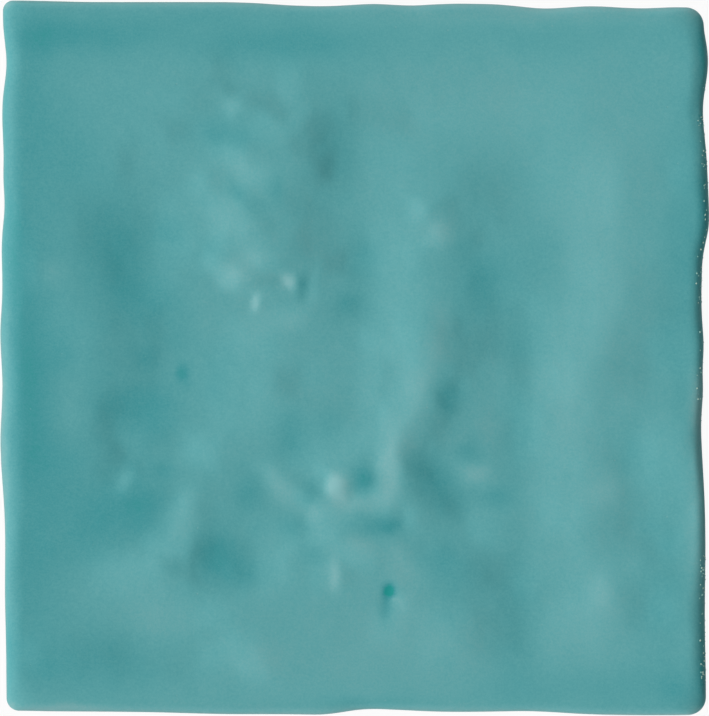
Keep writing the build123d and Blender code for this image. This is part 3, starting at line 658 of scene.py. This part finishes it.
def side_of_cad(tree, axis, sign, stations):
    """Where a side of the CAD tile stands at each station along it."""
    other = 1 - axis
    direction = Vector((0.0, 0.0, 0.0))
    direction[axis] = -sign
    found = []
    for station in np.clip(stations, TILE_LOW[other] + CORNER_CLEAR, TILE_HIGH[other] - CORNER_CLEAR):
        origin = Vector((0.0, 0.0, PROBE_HEIGHT * (TILE_HIGH.z - TILE_LOW.z)))
        origin[axis] = sign * 2.0 * TILE_HIGH[axis]
        origin[other] = station
        hit = tree.ray_cast(origin, direction)[0]
        if hit is None:
            raise RuntimeError("the CAD tile has no side where one is looked for")
        found.append(hit[axis])
    return smooth(np.array(found), SIDE_SMOOTHING)


def face_net(shape):
    """Points of the face and rolled edge as a net, with each point's distances in from the four sides."""
    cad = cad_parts["wall_tile"].data
    tree = BVHTree.FromPolygons([v.co for v in cad.vertices], [p.vertices for p in cad.polygons])
    size_x = TILE_HIGH.x - TILE_LOW.x
    size_y = TILE_HIGH.y - TILE_LOW.y
    lines_x = mesh_lines(size_x, shape)
    lines_y = mesh_lines(size_y, shape)
    left = side_of_cad(tree, 0, -1, TILE_LOW.y + lines_y)
    right = side_of_cad(tree, 0, 1, TILE_LOW.y + lines_y)
    lower = side_of_cad(tree, 1, -1, TILE_LOW.x + lines_x)
    upper = side_of_cad(tree, 1, 1, TILE_LOW.x + lines_x)
    flat_x, flat_y = np.meshgrid(lines_x, lines_y)
    insets = np.stack([flat_x, size_x - flat_x, flat_y, size_y - flat_y])
    round_x, round_y = round_corners(flat_x, flat_y, size_x, size_y, shape.corner_radii)
    x = left[:, None] + (right - left)[:, None] * round_x / size_x
    y = lower[None, :] + (upper - lower)[None, :] * round_y / size_y
    return x, y, insets


def roll_profile(inset, width, drop):
    """How far the face has turned down at a distance in from the side."""
    share = np.clip(1.0 - inset / width, 0.0, 1.0)
    return drop * (1.0 - np.sqrt(1.0 - share**ROLL_TIGHTNESS))


def face_heights(x, y, inset, shape):
    """Heights of the glazed face, with its relief and its rolled edge."""
    waver = 1.0 + shape.roll_waver * ROLL_RIPPLE.at(x / MM, y / MM)
    tight = total(TIGHT_ROLLS, x / MM, y / MM)
    width = shape.roll_width * (waver - tight)
    drop = shape.roll_drop * (1.0 - TIGHT_DROP * tight)
    calm = 1.0 - RIM_CALM * np.exp(-((inset / MM / RIM_CALM_WIDTH) ** 2))
    return FACE_LEVEL + face_relief(x / MM, y / MM) * MM * calm - roll_profile(inset, width, drop)


def border(numbers):
    """Numbers of a net's outer points, once round anticlockwise."""
    return np.concatenate([numbers[0], numbers[1:, -1], numbers[-1, -2::-1], numbers[-2:0:-1, 0]])


def outward_directions(around):
    """Level directions out of the tile at the points around it, each from the points two to either side."""
    ahead = np.roll(around, -2, axis=0) - np.roll(around, 2, axis=0)
    normal = np.stack([ahead[:, 1], -ahead[:, 0], np.zeros(len(around))], axis=1)
    return normal / np.linalg.norm(normal, axis=1, keepdims=True)


def lowered(row, height):
    """A row of points at another height."""
    moved = row.copy()
    moved[:, 2] = height
    return moved


def side_rows(around, shape):
    """Rows of points from the roll down the side to the back, each with how bare the clay is there."""
    outward = outward_directions(around)
    ripple = GLAZE_LINE_RIPPLE.at(around[:, 0] / MM, around[:, 1] / MM)
    line = shape.glaze_line + shape.glaze_waver * ripple
    lip = around - outward * LIP_INSET * shape.glaze_thickness
    clay = around - outward * shape.glaze_thickness
    rows = [(lowered(around, line + (around[:, 2] - line) * share), 0.0) for share in GLAZED_ROWS]
    rows.append((lowered(lip, line - LIP_DROP), LIP_BARENESS))
    rows.append((lowered(clay, line - CLAY_DROP), 1.0))
    rows += [(lowered(clay, line * share), 1.0) for share in BARE_ROWS]
    for inward, height in BACK_EDGE:
        drawn_in = clay * (1.0 - inward * MM / TILE_HIGH.x)
        rows.append((lowered(drawn_in, height * MM), 1.0))
    return rows


class Skin:
    """The tile's mesh while it is put together, with what its finish needs to know at each point."""

    def __init__(self):
        self.points = []
        self.faces = []
        self.values = {"glaze_depth": [], "bare_clay": [], "gritty": []}

    def add(self, points, **values):
        """Adds points, with one value for each of them or for all, and gives their numbers."""
        first = sum(len(earlier) for earlier in self.points)
        self.points.append(points)
        for name, value in values.items():
            self.values[name].append(np.broadcast_to(value, len(points)))
        return first + np.arange(len(points))

    def join(self, *corners):
        """Adds faces, each with a corner from each of the given rows of numbers."""
        self.faces += np.stack([np.ravel(row) for row in np.broadcast_arrays(*corners)], axis=1).tolist()

    def mesh(self, name):
        """The finished mesh, with its values as attributes."""
        made = bpy.data.meshes.new(name)
        made.from_pydata(np.concatenate(self.points).tolist(), [], self.faces)
        for attribute_name, parts in self.values.items():
            attribute = made.attributes.new(attribute_name, "FLOAT", "POINT")
            attribute.data.foreach_set("value", np.concatenate(parts).astype(np.float32))
        made.shade_smooth()
        made.validate()
        return made


def tile_mesh(shape):
    """The whole tile as one closed mesh, with the glaze's depth (which also carries painted light and shade),
    bare clay and gritty rim as attributes.
    """
    x, y, insets = face_net(shape)
    z = face_heights(x, y, insets.min(axis=0), shape)
    skin = Skin()
    face = np.stack([x.ravel(), y.ravel(), z.ravel()], axis=1)
    depth = glaze_depth(x / MM, y / MM, insets / MM).ravel()
    gritty = grittiness(y / MM, insets[1] / MM).ravel()
    net = skin.add(face, glaze_depth=depth, bare_clay=0.0, gritty=gritty).reshape(x.shape)
    skin.join(net[:-1, :-1], net[:-1, 1:], net[1:, 1:], net[1:, :-1])

    # The side, row by row from the roll down to the back, and the back closed to its middle
    upper = border(net)
    for points, bareness in side_rows(face[upper], shape):
        lower = skin.add(points, glaze_depth=SIDE_DEPTH, bare_clay=bareness, gritty=0.0)
        skin.join(np.roll(upper, -1), upper, lower, np.roll(lower, -1))
        upper = lower
    middle = skin.add(np.zeros((1, 3)), glaze_depth=0.0, bare_clay=1.0, gritty=0.0)
    skin.join(np.roll(upper, -1), upper, middle)
    return skin.mesh("wall_tile_glazed")


class Value:
    """A number that changes over a surface; working with it adds Math nodes."""

    def __init__(self, nodes, socket):
        self.nodes = nodes
        self.socket = socket

    def math(self, operation, first, second):
        node = self.nodes.node("ShaderNodeMath", {"operation": operation}, {0: first, 1: second})
        return self.nodes.value(node, 0)

    def __add__(self, other):
        return self.math("ADD", self, other)

    def __radd__(self, other):
        return self.math("ADD", other, self)

    def __sub__(self, other):
        return self.math("SUBTRACT", self, other)

    def __rsub__(self, other):
        return self.math("SUBTRACT", other, self)

    def __mul__(self, other):
        return self.math("MULTIPLY", self, other)

    def __rmul__(self, other):
        return self.math("MULTIPLY", other, self)

    def __lt__(self, other):
        return self.math("LESS_THAN", self, other)


class Nodes:
    """A node tree that is being put together."""

    def __init__(self, tree):
        self.tree = tree

    def node(self, kind, settings=None, sockets=None):
        """Adds a node, sets it up, and gives its sockets values or links."""
        made = self.tree.nodes.new(kind)
        for name, setting in (settings or {}).items():
            if name == "stops":
                self.set_stops(made.color_ramp, setting)
            else:
                setattr(made, name, setting)
        for name, value in (sockets or {}).items():
            if isinstance(value, Value):
                value = value.socket
            if isinstance(value, bpy.types.NodeSocket):
                self.tree.links.new(value, made.inputs[name])
            else:
                made.inputs[name].default_value = value
        return made

    @staticmethod
    def set_stops(ramp, stops):
        while len(ramp.elements) < len(stops):
            ramp.elements.new(1.0)
        for element, (place, colour) in zip(ramp.elements, stops):
            element.position = place
            element.color = (*colour, 1.0)

    def value(self, node, output):
        return Value(self, node.outputs[output])


class Recipe(Nodes):
    """A material that is being put together from nodes."""

    # Sockets of a Mix node that mixes colours, which has others of the same names
    MIX_FACTOR, MIX_FIRST, MIX_SECOND, MIX_RESULT = 0, 6, 7, 2

    def __init__(self, name):
        self.material = bpy.data.materials.new(name)
        self.material.use_nodes = True
        super().__init__(self.material.node_tree)
        self.tree.nodes.clear()

    @cached_property
    def place(self):
        """Place on the piece that the patterns follow."""
        return self.node("ShaderNodeTexCoord").outputs["Object"]

    def attribute(self, name):
        return self.value(self.node("ShaderNodeAttribute", {"attribute_name": name}), "Fac")

    def shade(self, cloud):
        """Shade of a cloud, from 0 to 1."""
        made = self.node("ShaderNodeTexNoise", {}, {
            "Vector": self.place, "Scale": cloud.scale, "Detail": cloud.detail,
            "Roughness": cloud.roughness})
        return self.value(made, "Fac")

    def change(self, clouds):
        """What clouds add up to, from about minus half to plus half their strength each."""
        changes = [cloud.strength * (self.shade(cloud) - cloud.middle) for cloud in clouds]
        return sum(changes[1:], changes[0])

    def ramp(self, value, stops):
        return self.node("ShaderNodeValToRGB", {"stops": stops}, {"Fac": value}).outputs["Color"]

    def mixed(self, factor, first, second, blend="MIX"):
        """A colour mixed with another."""
        made = self.node("ShaderNodeMix", {"data_type": "RGBA", "blend_type": blend}, {
            self.MIX_FACTOR: factor, self.MIX_FIRST: first, self.MIX_SECOND: second})
        return made.outputs[self.MIX_RESULT]

    def finished(self, shader):
        """The material, with its shader on its surface."""
        self.node("ShaderNodeOutputMaterial", {}, {"Surface": shader.outputs[0]})
        return self.material


def gas_dots(recipe):
    """1 on the tiny dots where gas broke through the glaze, and 0 beside them."""
    cells = recipe.node("ShaderNodeTexVoronoi", {}, {"Vector": recipe.place, "Scale": DOT_SCALE})
    draw = recipe.node("ShaderNodeSeparateColor", {}, {"Color": cells.outputs["Color"]})
    return (recipe.value(draw, "Red") < DOT_SHARE) * (recipe.value(cells, "Distance") < DOT_SIZE)


def glaze_colour(recipe, finish, dots):
    """Colour of the glaze by its depth, with the painted light and shade that the depth carries, mottled, paler
    on the dots and stained where it is gritty.
    """
    depth = recipe.attribute("glaze_depth") + recipe.change(GLAZE_MOTTLES) - DOT_THINNING * dots
    depth = depth + recipe.attribute("gritty") * recipe.change(STAIN_CLOUDS)
    return recipe.ramp(depth, [
        (0.0, finish.glaze_thin_and_highlight), (EVEN_DEPTH, finish.glaze_even),
        (DEEP_DEPTH, finish.glaze_deep_and_shade), (1.0, finish.glaze_pool_and_shade)])


def clay_colour(recipe, finish):
    """Colour of the bare clay, with faint clouds."""
    shades = recipe.ramp(recipe.shade(CLAY_CLOUD), CLAY_SHADES)
    return recipe.mixed(1.0, (*finish.clay, 1.0), shades, "MULTIPLY")


def glazed_clay(finish):
    """Satin turquoise glaze, deeper where it has run together and with painted light and shade in its colour,
    over pale clay that is bare lower down.
    """
    recipe = Recipe("glazed_clay")
    bare = recipe.attribute("bare_clay")
    dots = gas_dots(recipe)
    colour = recipe.mixed(bare, glaze_colour(recipe, finish, dots), clay_colour(recipe, finish))
    gloss = finish.glaze_roughness + recipe.change(GLOSS_CLOUDS)
    roughness = gloss + bare * (finish.clay_roughness - gloss)
    peel = recipe.change(GLAZE_PEEL) - DOT_PIT * dots
    bump = recipe.node("ShaderNodeBump", {}, {"Strength": 1.0, "Distance": PEEL_HEIGHT, "Height": peel})
    return recipe.finished(recipe.node("ShaderNodeBsdfPrincipled", {}, {
        "Base Color": colour, "Roughness": roughness, "IOR": GLAZE_IOR, "Specular IOR Level": GLAZE_SPECULAR,
        "Normal": bump.outputs[0]}))


def pale_grit(grit):
    """Grains between cream and pale green."""
    recipe = Recipe("pale_grit")
    stops = [(GRIT_GREEN_UNDER, grit.green), (GRIT_CREAM_OVER, grit.cream)]
    colour = recipe.ramp(recipe.shade(GRIT_CLOUD), stops)
    return recipe.finished(recipe.node("ShaderNodeBsdfPrincipled", {}, {
        "Base Color": colour, "Roughness": grit.roughness}))


def pale_floor(stage):
    """Matt pale floor that the camera sees as nearly white, with the tile's shadow on it."""
    recipe = Recipe("pale_floor")
    matt = recipe.node("ShaderNodeBsdfDiffuse", {}, {"Color": (*stage.floor_colour, 1.0)})
    glow = recipe.node("ShaderNodeEmission", {}, {"Color": (1.0, 1.0, 1.0, 1.0), "Strength": 1.0})
    rays = recipe.node("ShaderNodeLightPath")
    seen = recipe.value(rays, "Is Camera Ray") + recipe.value(rays, "Is Glossy Ray")
    seen = seen + recipe.value(rays, "Is Transmission Ray")
    return recipe.finished(recipe.node("ShaderNodeMixShader", {}, {
        0: seen * stage.floor_glow, 1: matt.outputs[0], 2: glow.outputs[0]}))


def grit_nodes():
    """Geometry nodes that strew flat grains over a surface, as thickly as its gritty attribute says."""
    tree = bpy.data.node_groups.new("strew_grit", "GeometryNodeTree")
    given = {
        "Surface": "NodeSocketGeometry", "Density": "NodeSocketFloat", "Least Size": "NodeSocketFloat",
        "Most Size": "NodeSocketFloat", "Flatness": "NodeSocketFloat", "Seed": "NodeSocketInt",
        "Material": "NodeSocketMaterial"}
    for name, kind in given.items():
        tree.interface.new_socket(name, in_out="INPUT", socket_type=kind)
    tree.interface.new_socket("Grains", in_out="OUTPUT", socket_type="NodeSocketGeometry")

    nodes = Nodes(tree)
    sizes = nodes.node("NodeGroupInput")
    gritty = nodes.node("GeometryNodeInputNamedAttribute", {"data_type": "FLOAT"}, {"Name": "gritty"})
    strewn = nodes.node("GeometryNodeDistributePointsOnFaces", {"distribute_method": "RANDOM"}, {
        "Mesh": sizes.outputs["Surface"], "Seed": sizes.outputs["Seed"],
        "Density": nodes.value(sizes, "Density") * nodes.value(gritty, "Attribute")})
    least = nodes.value(sizes, "Least Size")
    draw = nodes.node("FunctionNodeRandomValue", {"data_type": "FLOAT"}, {"Seed": sizes.outputs["Seed"]})
    size = least + nodes.value(draw, 1) * (nodes.value(sizes, "Most Size") - least)
    scale = nodes.node("ShaderNodeCombineXYZ", {}, {
        "X": size, "Y": size, "Z": size * nodes.value(sizes, "Flatness")})
    grain = nodes.node("GeometryNodeMeshIcoSphere", {}, {"Radius": 1.0, "Subdivisions": 1})
    grains = nodes.node("GeometryNodeInstanceOnPoints", {}, {
        "Points": strewn.outputs["Points"], "Instance": grain.outputs["Mesh"],
        "Rotation": strewn.outputs["Rotation"], "Scale": scale.outputs[0]})
    real = nodes.node("GeometryNodeRealizeInstances", {}, {"Geometry": grains.outputs[0]})
    dressed = nodes.node("GeometryNodeSetMaterial", {}, {
        "Geometry": real.outputs[0], "Material": sizes.outputs["Material"]})
    nodes.node("NodeGroupOutput", {}, {"Grains": dressed.outputs[0]})
    return tree


def show(name, data):
    """Puts a mesh, light or camera in the scene."""
    thing = bpy.data.objects.new(name, data)
    bpy.context.scene.collection.objects.link(thing)
    return thing


def strew(name, surface, tree, sizes):
    """Puts what the nodes strew over a surface in the scene, as a plain mesh."""
    grains = show(name, surface)
    modifier = grains.modifiers.new("strew", "NODES")
    modifier.node_group = tree
    for socket in tree.interface.items_tree:
        if socket.name in sizes:
            modifier[socket.identifier] = sizes[socket.name]
    evaluated = grains.evaluated_get(bpy.context.evaluated_depsgraph_get())
    mesh = bpy.data.meshes.new_from_object(evaluated)
    if not mesh.vertices:
        raise RuntimeError("no grains were strewn")
    grains.modifiers.clear()
    grains.data = mesh
    return grains


class WALLTILE_OT_make_tile(bpy.types.Operator):
    """Make the glazed tile in the place of the plain one"""

    bl_idname = "wall_tile.make_tile"
    bl_label = "Make Tile"

    def execute(self, context):
        scene = context.scene
        mesh = tile_mesh(scene.wall_tile_shape)
        mesh.materials.append(glazed_clay(scene.wall_tile_finish))
        tile = show("wall_tile_glazed", mesh)
        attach(tile, "root")
        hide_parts("wall_tile")
        return {"FINISHED"}


class WALLTILE_OT_make_grit(bpy.types.Operator):
    """Strew the grains along the right rim of the glazed tile"""

    bl_idname = "wall_tile.make_grit"
    bl_label = "Make Grit"

    def execute(self, context):
        grit = context.scene.wall_tile_grit
        sizes = {
            "Density": grit.density, "Least Size": grit.least_size, "Most Size": grit.most_size,
            "Flatness": grit.flatness, "Seed": grit.seed, "Material": pale_grit(grit)}
        grains = strew("rim_grit", bpy.data.objects["wall_tile_glazed"].data, grit_nodes(), sizes)
        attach(grains, "root")
        return {"FINISHED"}


class WALLTILE_OT_make_stage(bpy.types.Operator):
    """Make the floor, the lights and the camera"""

    bl_idname = "wall_tile.make_stage"
    bl_label = "Make Stage"

    def execute(self, context):
        scene = context.scene
        stage = scene.wall_tile_stage
        self.make_floor(stage)
        self.make_lights(scene, stage)
        self.make_camera(scene, stage)
        scene.view_settings.view_transform = "Standard"
        return {"FINISHED"}

    def make_floor(self, stage):
        reach = stage.floor_reach
        mesh = bpy.data.meshes.new("floor")
        corners = [(-reach, -reach, 0.0), (reach, -reach, 0.0), (reach, reach, 0.0), (-reach, reach, 0.0)]
        mesh.from_pydata(corners, [], [(0, 1, 2, 3)])
        mesh.materials.append(pale_floor(stage))
        show("floor", mesh)

    def make_lights(self, scene, stage):
        quarter = math.pi / 2
        self.make_sun("key", stage.key_share, stage.key_height, stage.key_heading, stage.key_spread)
        for name, turn in (("fill_upper", -quarter), ("fill_lower", quarter)):
            heading = stage.key_heading + turn
            self.make_sun(name, stage.fill_share, stage.fill_height, heading, stage.fill_spread)
        world = bpy.data.worlds.new("studio")
        world.use_nodes = True
        background = world.node_tree.nodes["Background"]
        background.inputs["Color"].default_value = (1.0, 1.0, 1.0, 1.0)
        background.inputs["Strength"].default_value = 1.0 - stage.key_share - 2 * stage.fill_share
        scene.world = world

    def make_sun(self, name, share, height, heading, spread):
        """A soft lamp that gives the face a share of its light."""
        sun = bpy.data.lights.new(name, "SUN")
        sun.energy = share * math.pi / math.sin(height)
        sun.angle = spread
        level = math.cos(height)
        towards = Vector((math.cos(heading) * level, math.sin(heading) * level, math.sin(height)))
        lamp = show(name, sun)
        lamp.rotation_mode = "QUATERNION"
        lamp.rotation_quaternion = towards.to_track_quat("Z", "Y")

    def make_camera(self, scene, stage):
        data = bpy.data.cameras.new("camera")
        data.lens = data.sensor_width * stage.camera_distance / stage.picture_side
        data.clip_start = CAMERA_NEAREST
        camera = show("camera", data)
        camera.location = (*stage.camera_aim, FACE_LEVEL - RIM_DROP + stage.camera_distance)
        scene.camera = camera


class WALLTILE_PT_sidebar(bpy.types.Panel):
    """Sizes, colours and stage of the wall tile"""

    bl_label = "Wall Tile"
    bl_idname = "WALLTILE_PT_sidebar"
    bl_space_type = "VIEW_3D"
    bl_region_type = "UI"
    bl_category = "Wall Tile"

    def draw(self, context):
        scene = context.scene
        groups = (scene.wall_tile_shape, scene.wall_tile_finish, scene.wall_tile_grit, scene.wall_tile_stage)
        for group in groups:
            box = self.layout.box()
            for name in group.__annotations__:
                box.prop(group, name)
        self.layout.operator(WALLTILE_OT_make_tile.bl_idname)
        self.layout.operator(WALLTILE_OT_make_grit.bl_idname)
        self.layout.operator(WALLTILE_OT_make_stage.bl_idname)


CLASSES = (
    TileShape, TileFinish, TileGrit, TileStage, WALLTILE_OT_make_tile, WALLTILE_OT_make_grit,
    WALLTILE_OT_make_stage, WALLTILE_PT_sidebar)


def register():
    for each in CLASSES:
        bpy.utils.register_class(each)
    bpy.types.Scene.wall_tile_shape = PointerProperty(type=TileShape)
    bpy.types.Scene.wall_tile_finish = PointerProperty(type=TileFinish)
    bpy.types.Scene.wall_tile_grit = PointerProperty(type=TileGrit)
    bpy.types.Scene.wall_tile_stage = PointerProperty(type=TileStage)


def unregister():
    del bpy.types.Scene.wall_tile_shape
    del bpy.types.Scene.wall_tile_finish
    del bpy.types.Scene.wall_tile_grit
    del bpy.types.Scene.wall_tile_stage
    for each in reversed(CLASSES):
        bpy.utils.unregister_class(each)


def main():
    register()
    bpy.ops.wall_tile.make_tile()
    bpy.ops.wall_tile.make_grit()
    bpy.ops.wall_tile.make_stage()


if __name__ == "__main__":
    main()
